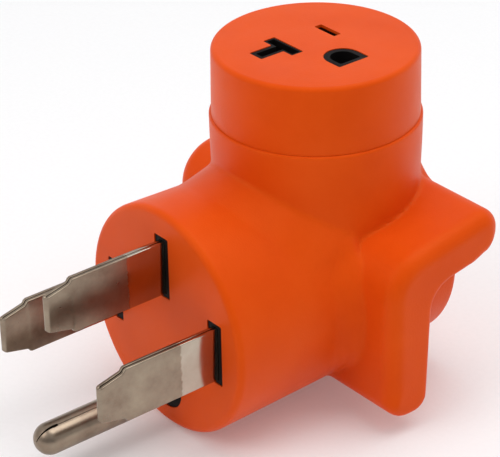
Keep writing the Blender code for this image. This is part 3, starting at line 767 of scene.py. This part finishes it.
def zero_surface(field, xs, ys, zs):
    """The field's zero surface as (points, quads), one point in each grid cell that it crosses."""
    values = field(xs[:, None, None], ys[None, :, None], zs[None, None, :])
    inside = values < 0.0
    shape = tuple(n - 1 for n in values.shape)
    total = np.zeros((*shape, 3))
    count = np.zeros(shape)
    lines = (xs, ys, zs)
    for axis in range(3):
        others = [a for a in range(3) if a != axis]
        for offset_a in (0, 1):
            for offset_b in (0, 1):
                cut = [slice(None)] * 3
                cut[axis] = slice(0, shape[axis])
                cut[others[0]] = slice(offset_a, offset_a + shape[others[0]])
                cut[others[1]] = slice(offset_b, offset_b + shape[others[1]])
                near = tuple(cut)
                cut[axis] = slice(1, shape[axis] + 1)
                far = tuple(cut)
                crossed = inside[near] != inside[far]
                a = values[near][crossed]
                b = values[far][crossed]
                where = np.nonzero(crossed)
                point = np.zeros((len(a), 3))
                index = where[axis]
                start = lines[axis][index]
                point[:, axis] = start + (lines[axis][index + 1] - start) * a / (a - b)
                point[:, others[0]] = lines[others[0]][where[others[0]] + offset_a]
                point[:, others[1]] = lines[others[1]][where[others[1]] + offset_b]
                total[where] += point
                count[where] += 1.0
    active = count > 0.0
    number = -np.ones(shape, int)
    number[active] = np.arange(active.sum())
    points = total[active] / count[active][:, None]
    quads = []
    for axis in range(3):
        others = [a for a in range(3) if a != axis]
        inner = [slice(1, -1)] * 3
        inner[axis] = slice(0, shape[axis])
        near = tuple(inner)
        inner[axis] = slice(1, shape[axis] + 1)
        far = tuple(inner)
        crossed = np.array(np.nonzero(inside[near] != inside[far]))
        crossed[others[0]] += 1
        crossed[others[1]] += 1
        ring = []
        for step_a, step_b in ((-1, -1), (0, -1), (0, 0), (-1, 0)):
            cell = crossed.copy()
            cell[others[0]] += step_a
            cell[others[1]] += step_b
            ring.append(number[tuple(cell)])
        quads.append(np.stack(ring, 1))
    return points, np.concatenate(quads)


def settle(points, field, rounds=4, reach=0.02):
    """Move points along the field's slope until they lie on its zero surface."""
    for _ in range(rounds):
        x, y, z = points.T
        value = field(x, y, z)
        slope = np.stack([
            field(x + reach, y, z) - field(x - reach, y, z),
            field(x, y + reach, z) - field(x, y - reach, z),
            field(x, y, z + reach) - field(x, y, z - reach),
        ], 1) / (2.0 * reach)
        length = np.maximum((slope ** 2).sum(1), 0.25)
        step = slope * (value / length)[:, None]
        size = np.linalg.norm(step, axis=1)
        step *= np.minimum(1.0, 0.3 / np.maximum(size, 1e-9))[:, None]
        points = points - step
    return points


def field_object(field, xs, ys, zs):
    """A field's zero surface as an object."""
    points, quads = zero_surface(field, xs, ys, zs)
    points = settle(points, field)
    mesh = bpy.data.meshes.new("field")
    mesh.from_pydata(points.tolist(), [], quads.tolist())
    work = bmesh.new()
    work.from_mesh(mesh)
    bmesh.ops.recalc_face_normals(work, faces=work.faces)
    work.to_mesh(mesh)
    work.free()
    shape = bpy.data.objects.new("field", mesh)
    bpy.context.scene.collection.objects.link(shape)
    return shape


def rectangle(centre, size):
    """Corners of a rectangle about a centre."""
    half_a = size[0] / 2.0
    half_b = size[1] / 2.0
    signs = [(-1.0, -1.0), (1.0, -1.0), (1.0, 1.0), (-1.0, 1.0)]
    return [(centre[0] + a * half_a, centre[1] + b * half_b) for a, b in signs]


def rounded_rectangle(centre, size, radius, steps=4):
    """Outline of a rectangle with rounded corners."""
    return rounded_outline([(corner, radius) for corner in reversed(rectangle(centre, size))], steps)


def make_body(material):
    """The moulded body, neck and grips in one smooth skin, with the windows of the plug face."""
    face_span = (-0.6, 3.0, FACE_STEP)
    lip_span = (NECK_TOP - 2.0, NECK_TOP + 0.6, LIP_STEP)
    xs = grid_lines(MOULD_LOW[0] - PAST, MOULD_HIGH[0] + PAST, GRID_STEP)
    ys = grid_lines(-PAST, MOULD_HIGH[1] + PAST, GRID_STEP, face_span)
    zs = grid_lines(MOULD_LOW[2] - PAST, NECK_TOP + PAST, GRID_STEP, lip_span)
    body = field_object(body_field, xs, ys, zs)
    cutters = []
    for at in BLADES.values():
        outline = rounded_rectangle(at, (WINDOW_X, WINDOW_Z), WINDOW_CORNER_R)
        cutters.append(prism(outline, "Y", -PAST, FRONT_WALL + PAST))
    cutters.append(rod("Y", GROUND_AT, WINDOW_ROUND_R, -PAST, FRONT_WALL + PAST, WINDOW_ROUND))
    combine(body, "DIFFERENCE", cutters)
    return finish_piece(body, "body_moulding", material, "orange_pvc", "over_mould")


# ---------------------------------------------------------------- cap and sockets

def t_outline(grow_bar, grow_stem, radius):
    """The T-shaped slot's outline in X and Y, grown outwards, its corners rounded."""
    x, y = NEUTRAL_AT
    bar = T_BAR[0] / 2.0 + grow_bar
    top = y + T_BAR[1] / 2.0 + grow_bar
    low = y - T_BAR[1] / 2.0 - grow_bar
    stem = T_STEM_WIDTH / 2.0 + grow_stem
    end = T_STEM_END - grow_stem
    points = [(x - bar, top), (x + bar, top), (x + bar, low), (x + stem, low), (x + stem, end)]
    points += [(x - stem, end), (x - stem, low), (x - bar, low)]
    return rounded_outline([((a, b + NECK_Y), radius) for a, b in points], 3)


def d_outline(grow_round, grow_flat):
    """The D-shaped slot's outline in X and Y: round towards -X, flat towards +X."""
    x, y = GROUND_SLOT_AT
    radius = D_R + grow_round
    flat = x + D_FLAT + grow_flat
    centre_y = y + NECK_Y
    points = arc((x, centre_y), radius, 90.0, 270.0, 28)
    inset = D_CORNER_R
    points += arc((flat - inset, centre_y - radius + inset), inset, -90.0, 0.0, 4)
    points += arc((flat - inset, centre_y + radius - inset), inset, 0.0, 90.0, 4)
    return points


def hot_outline(grow):
    """The hot slot's outline in X and Y."""
    size = (HOT_SLOT[0] + 2 * grow, HOT_SLOT[1] + 2 * grow)
    return rounded_rectangle((HOT_AT[0], HOT_AT[1] + NECK_Y), size, HOT_CORNER_R + grow / 2.0)


def make_cap(material):
    """The cap: drafted side, rounded edge, and windows for the rims and the hot slot."""
    top_r = CAP_R - CAP_TAPER
    bottom = NECK_TOP + CAP_SEAM
    profile = [(0.0, bottom), (CAP_R - CAP_FOOT_R, bottom)]
    profile += arc((CAP_R - CAP_FOOT_R, bottom + CAP_FOOT_R), CAP_FOOT_R, -90.0, 0.0, 4)[1:]
    profile += arc((top_r - CAP_EDGE_R, FACE_Z - CAP_EDGE_R), CAP_EDGE_R, 0.0, 90.0, 10)
    profile += [(radius, FACE_Z) for radius in CAP_FACE_RINGS]
    profile.append((0.0, FACE_Z))
    cap = turned(profile, "Z", (0.0, NECK_Y), CAP_ROUND)
    ceiling = FACE_Z - CAP_TOP_WALL
    cutters = [
        rod("Z", (0.0, NECK_Y), NECK_BORE_R, CAP_BOTTOM - PAST, ceiling, BORE_ROUND),
        prism(t_outline(*T_RIM, T_RIM_CORNER_R), "Z", ceiling - PAST, FACE_Z + PAST),
        prism(d_outline(*D_RIM), "Z", ceiling - PAST, FACE_Z + PAST),
        prism(hot_outline(0.0), "Z", ceiling - PAST, FACE_Z + PAST),
        prism(hot_outline(HOT_RIM), "Z", ceiling - PAST, FACE_Z - HOT_SKIN),
    ]
    combine(cap, "DIFFERENCE", cutters)
    return finish_piece(cap, "cap_moulding", material, "orange_pvc", "receptacle_cap")


def make_socket(material):
    """The black receptacle core: disc, rims that fill the cap's windows, slots and chambers."""
    radius = (SOCKET_HIGH[0] - SOCKET_LOW[0]) / 2.0
    top = FACE_Z - CAP_TOP_WALL - GAP
    bottom = SOCKET_LOW[2]
    socket = rod("Z", (0.0, NECK_Y), radius, bottom, top)
    t_rim = t_outline(T_RIM[0] - RIM_FIT, T_RIM[1] - RIM_FIT, T_RIM_CORNER_R)
    d_rim = d_outline(D_RIM[0] - RIM_FIT, D_RIM[1] - RIM_FIT)
    rims = []
    for outline in (t_rim, d_rim):
        rims.append(bevel_sharp(prism(outline, "Z", top - PAST, FACE_Z - RIM_SUNK), RIM_EDGE_R))
    rims.append(prism(hot_outline(HOT_RIM - RIM_FIT), "Z", top - PAST, FACE_Z - HOT_SKIN - RIM_FIT))
    combine(socket, "UNION", rims)
    cutters = []
    for (x0, y0), (x1, y1) in CHAMBERS:
        outline = [(x0, y0 + NECK_Y), (x1, y0 + NECK_Y), (x1, y1 + NECK_Y), (x0, y1 + NECK_Y)]
        cutters.append(prism(outline, "Z", bottom - PAST, CHAMBER_TOP))
    slots = [t_outline(0.0, 0.0, T_SLOT_CORNER_R), d_outline(0.0, 0.0), hot_outline(HOT_CORE_GROW)]
    for outline in slots:
        cutters.append(prism(outline, "Z", CHAMBER_TOP - PAST, FACE_Z + PAST))
    combine(socket, "DIFFERENCE", cutters)
    return finish_piece(socket, "socket_insert", material, "black_nylon", "receptacle_core")


def make_insert(material):
    """The black plug core: a disc with a close-fitting boss in each window of the plug face."""
    radius = (CORE_HIGH[0] - CORE_LOW[0]) / 2.0
    back = CORE_HIGH[1]
    disc_front = FRONT_WALL + GAP
    pocket = SHOULDER_FRONT - GAP
    boss_size = (WINDOW_X - 2 * BOSS_FIT, WINDOW_Z - 2 * BOSS_FIT)
    insert = rod("Y", (0.0, 0.0), radius, disc_front, back)
    bosses = []
    cutters = []
    for at in BLADES.values():
        boss = prism(rounded_rectangle(at, boss_size, BOSS_CORNER_R), "Y", BOSS_SUNK, disc_front + PAST)
        bosses.append(bevel_sharp(boss, BOSS_EDGE_R))
        cutters.append(prism(rectangle(at, BLADE_SLOT), "Y", -PAST, back + PAST))
        cutters.append(prism(rectangle(at, BLADE_POCKET), "Y", pocket, back + PAST))
    boss_r = WINDOW_ROUND_R - BOSS_FIT
    boss = rod("Y", GROUND_AT, boss_r, BOSS_SUNK, disc_front + PAST, WINDOW_ROUND)
    bosses.append(bevel_sharp(boss, BOSS_EDGE_R))
    cutters.append(rod("Y", GROUND_AT, PIN_HOLE_R, -PAST, back + PAST, WINDOW_ROUND))
    cutters.append(rod("Y", GROUND_AT, FLANGE_R + GAP, pocket, back + PAST, WINDOW_ROUND))
    combine(insert, "UNION", bosses)
    combine(insert, "DIFFERENCE", cutters)
    return finish_piece(insert, "plug_insert", material, "black_nylon", "plug_core")


# ---------------------------------------------------------------- blades and pin

def blade_half_width(y):
    """Half the blade's width at y: nose corners, chamfer, small notch, then full width."""
    stations = [station for station, _ in BLADE_OUTLINE]
    widths = [width for _, width in BLADE_OUTLINE]
    return float(np.interp(y, stations, widths))


def blade_sections():
    """Places along a blade where its width changes, from the fold to the shoulder."""
    return [-29.7, -28.0, -26.5, -24.7, -24.35, -24.0, -23.5, -20.0, -12.0, -4.0, 4.0, SHOULDER_BACK]


def folded_sheet(at):
    """One strip of sheet folded back on itself at the nose, as a closed solid."""
    outer = BLADE_HALF_THICK
    inner = SHEET_GAP
    centre_y = BLADE_TIP_Y + outer
    path_outer = [(outer, y) for y in reversed(blade_sections())]
    path_inner = [(inner, y) for y in reversed(blade_sections())]
    turns = [math.radians(-90.0 * step / 8) for step in range(1, 16)]
    for turn in turns:
        path_outer.append((outer * math.cos(turn), centre_y + outer * math.sin(turn)))
        path_inner.append((inner * math.cos(turn), centre_y + inner * math.sin(turn)))
    path_outer += [(-outer, y) for y in blade_sections()]
    path_inner += [(-inner, y) for y in blade_sections()]
    work = bmesh.new()
    x, z = at
    rows = []
    for (ox, oy), (ix, iy) in zip(path_outer, path_inner):
        width = blade_half_width(oy)
        row = []
        for px, py, side in ((ox, oy, 1.0), (ox, oy, -1.0), (ix, iy, -1.0), (ix, iy, 1.0)):
            row.append(work.verts.new((x + px, py, z + side * width)))
        rows.append(row)
    for row, after in zip(rows, rows[1:]):
        for k in range(4):
            j = (k + 1) % 4
            work.faces.new((row[k], after[k], after[j], row[j]))
    work.faces.new(rows[0])
    work.faces.new(rows[-1])
    bmesh.ops.recalc_face_normals(work, faces=work.faces)
    for corners, width in (((0, 1), SHEET_OUTER_EDGE_R), ((2, 3), SHEET_INNER_EDGE_R)):
        edges = []
        for row, after in zip(rows, rows[1:]):
            edges.extend(work.edges.get((row[k], after[k])) for k in corners)
        edges = [edge for edge in edges if edge is not None and edge.is_valid]
        bmesh.ops.bevel(
            work, geom=edges, offset=width, segments=3, profile=0.5,
            affect="EDGES", clamp_overlap=True,
        )
    return shape_from(work)


def block(low, high):
    """A block between two corners."""
    outline = [(low[0], low[2]), (high[0], low[2]), (high[0], high[2]), (low[0], high[2])]
    return prism(outline, "Y", low[1], high[1])


def make_blade(name, at, material, wired):
    """A blade: folded sheet, ears in the core, tail, and a wire cup where it carries a wire."""
    x, z = at
    blade = folded_sheet(at)
    ears = block(
        (x - SHOULDER_HALF_X, SHOULDER_FRONT, z - SHOULDER_HALF_Z),
        (x + SHOULDER_HALF_X, SHOULDER_BACK, z + SHOULDER_HALF_Z),
    )
    tail = block(
        (x - BLADE_HALF_THICK, TAIL_FRONT, z - TAIL_HALF_Z),
        (x + BLADE_HALF_THICK, TAIL_BACK if wired else BARE_TAIL_BACK, z + TAIL_HALF_Z),
    )
    combine(blade, "UNION", [bevel_sharp(ears, 0.3), bevel_sharp(tail, 0.2)])
    if wired:
        cup = rod("Y", at, CUP_R, CUP_MOUTH - CUP_LENGTH, CUP_MOUTH, CUP_ROUND)
        bore = rod("Y", at, CUP_BORE_R, CUP_MOUTH - CUP_DEPTH, CUP_MOUTH + PAST, CUP_ROUND)
        combine(blade, "UNION", [bevel_sharp(cup, 0.2)])
        combine(blade, "DIFFERENCE", [bore])
    return finish_piece(blade, name.replace("_blade", "_folded_blade"), material, "nickel_plate", name)


def make_pin(material):
    """The round pin: rolled sheet with a seam along its top that opens into a slit at the nose."""
    profile = [(0.0, PIN_TIP_Y)] + arc((0.0, PIN_TIP_Y + PIN_R), PIN_R, -90.0, 0.0, 14)[1:]
    profile += [(PIN_R, -20.0), (PIN_R, -6.0), (PIN_R, SHOULDER_FRONT), (FLANGE_R, SHOULDER_FRONT)]
    profile += [(FLANGE_R, SHOULDER_BACK), (CUP_R, SHOULDER_BACK), (CUP_R, CUP_MOUTH)]
    profile += [(CUP_BORE_R, CUP_MOUTH), (CUP_BORE_R, CUP_MOUTH - CUP_DEPTH)]
    profile.append((0.0, CUP_MOUTH - CUP_DEPTH))
    pin = turned(profile, "Y", GROUND_AT, PIN_ROUND)
    seam = [(-0.08, -30.0), (-0.06, 8.0), (0.06, 8.0), (0.08, -30.0)]
    slit = [(-0.3, -29.9), (0.3, -29.9), (0.34, -31.0), (0.22, -33.0), (0.06, -35.4)]
    slit += [(-0.06, -35.4), (-0.22, -33.0), (-0.34, -31.0)]
    cutters = [prism(seam, "Z", PIN_R - 0.5, PIN_R + PAST), prism(slit, "Z", 0.6, PIN_R + PAST)]
    x, z = GROUND_AT
    for cutter in cutters:
        cutter.data.transform(Matrix.Translation((x, 0.0, z)) @ Matrix.Rotation(SEAM_TURN, 4, "Y"))
    combine(pin, "DIFFERENCE", cutters)
    return finish_piece(pin, "ground_rolled_pin", material, "nickel_plate", "ground_pin")


# ---------------------------------------------------------------- hidden pieces kept from the CAD

REPLACED = {"over_mould", "receptacle_cap", "receptacle_core", "plug_core", "ground_pin", *BLADES}


def dress_cad_nodes(materials):
    """Give every CAD node that stays a procedural material and softly broken edges."""
    slots = {part["node"]: part["material_slot"] for part in frame["record"]["subparts"]}
    for name, node in frame["nodes"].items():
        if node.hide_render or name in REPLACED:
            continue
        material = materials[slots[name]]
        node.data.materials.clear()
        node.data.materials.append(material)
        bevel = node.modifiers.new("soft_edges", "BEVEL")
        bevel.width = 0.00008
        bevel.segments = 2
        bevel.limit_method = "ANGLE"
        bevel.angle_limit = math.radians(40.0)
        bevel.use_clamp_overlap = True


# ---------------------------------------------------------------- studio

WORLD_BACK = (0.7, 0.7, 0.71)
WORLD_FRONT = (0.2, 0.2, 0.21)
FLOOR_GAP = 0.0002
FLOOR_HALF_SIZE = 6.0
CAMERA_AZIMUTH = math.radians(51.48)
CAMERA_ELEVATION = math.radians(29.21)
CAMERA_ROLL = math.radians(-1.1)
CAMERA_TARGET = (-0.00901, 0.03152, 0.00752)
CAMERA_DISTANCE = 0.51472
CAMERA_LENS = 163.84
CAMERA_SENSOR = 36.0


def studio_floor():
    """A pale flat floor, just under the object's lowest point."""
    low = cad_box[0][2] - FLOOR_GAP
    work = bmesh.new()
    bmesh.ops.create_grid(work, x_segments=2, y_segments=2, size=FLOOR_HALF_SIZE)
    bmesh.ops.translate(work, vec=(0.0, 0.0, low), verts=work.verts)
    floor = shape_from(work)
    floor.name = "studio_floor"
    made, tree, shader = new_material("studio_paper")
    fibres = noise(tree, object_space(tree), 900.0, 3.0)
    paper = ramp(tree, fibres, [(0.3, (0.82, 0.82, 0.82)), (0.7, (0.84, 0.84, 0.84))])
    tree.links.new(paper, shader.inputs["Base Color"])
    shader.inputs["Roughness"].default_value = 0.9
    shader.inputs["Specular IOR Level"].default_value = 0.1
    shader.inputs["Emission Color"].default_value = (1.0, 1.0, 1.0, 1.0)
    shader.inputs["Emission Strength"].default_value = 0.12
    floor.data.materials.append(made)


def area_light(name, place, aim, size, power):
    """A soft square light at a place, aimed at a point."""
    lamp = bpy.data.lights.new(name, "AREA")
    lamp.shape = "SQUARE"
    lamp.size = size
    lamp.energy = power
    light = bpy.data.objects.new(name, lamp)
    light.location = place
    light.rotation_euler = (Vector(aim) - Vector(place)).to_track_quat("-Z", "Y").to_euler()
    bpy.context.scene.collection.objects.link(light)


def studio_world():
    """A pale room, brightest overhead and behind the object, dimmer behind the camera."""
    world = bpy.data.worlds.new("studio")
    world.use_nodes = True
    tree = world.node_tree
    direction = add(tree, "ShaderNodeTexCoord").outputs["Generated"]
    toward_camera = tree.nodes.new("ShaderNodeVectorMath")
    toward_camera.operation = "DOT_PRODUCT"
    toward_camera.inputs[1].default_value = (math.sin(CAMERA_AZIMUTH), -math.cos(CAMERA_AZIMUTH), -0.6)
    tree.links.new(direction, toward_camera.inputs[0])
    facing = spread(tree, toward_camera.outputs["Value"], 0.0, 1.0)
    facing.node.inputs["From Min"].default_value = -1.0
    colour = ramp(tree, facing, [(0.0, WORLD_BACK), (0.45, WORLD_BACK), (1.0, WORLD_FRONT)])
    tree.links.new(colour, tree.nodes["Background"].inputs["Color"])
    bpy.context.scene.world = world
    bpy.context.scene.view_settings.view_transform = "Standard"


def studio_lights():
    """A key light in front of the plug face and a stronger one overhead, behind the neck."""
    aim = (0.0, 0.03, 0.0)
    area_light("key", (-0.1, -0.6, 0.6), aim, 0.5, 1.5)
    area_light("top", (0.15, 0.2, 0.8), aim, 0.6, 2.8)


def photo_camera():
    """The camera at the photograph's angle and distance."""
    level = math.cos(CAMERA_ELEVATION)
    ahead = Vector((
        -math.sin(CAMERA_AZIMUTH) * level,
        math.cos(CAMERA_AZIMUTH) * level,
        -math.sin(CAMERA_ELEVATION),
    ))
    right = Vector((math.cos(CAMERA_AZIMUTH), math.sin(CAMERA_AZIMUTH), 0.0))
    up = right.cross(ahead)
    turned_right = right * math.cos(CAMERA_ROLL) + up * math.sin(CAMERA_ROLL)
    turned_up = up * math.cos(CAMERA_ROLL) - right * math.sin(CAMERA_ROLL)
    lens = bpy.data.cameras.new("camera")
    lens.lens = CAMERA_LENS
    lens.sensor_width = CAMERA_SENSOR
    lens.clip_start = 0.01
    camera = bpy.data.objects.new("camera", lens)
    turn = Matrix((turned_right, turned_up, -ahead)).transposed().to_4x4()
    place = Vector(CAMERA_TARGET) - ahead * CAMERA_DISTANCE
    camera.matrix_world = Matrix.Translation(place) @ turn
    bpy.context.scene.collection.objects.link(camera)
    bpy.context.scene.camera = camera


def main():
    photo_camera()
    studio_floor()
    studio_world()
    studio_lights()
    materials = all_materials()
    dress_cad_nodes(materials)
    make_body(materials["orange_pvc"])
    make_cap(materials["orange_pvc"])
    make_socket(materials["black_nylon"])
    make_insert(materials["black_nylon"])
    for name, at in BLADES.items():
        make_blade(name, at, materials["nickel_plate"], name != "line_x_blade")
    make_pin(materials["nickel_plate"])


main()
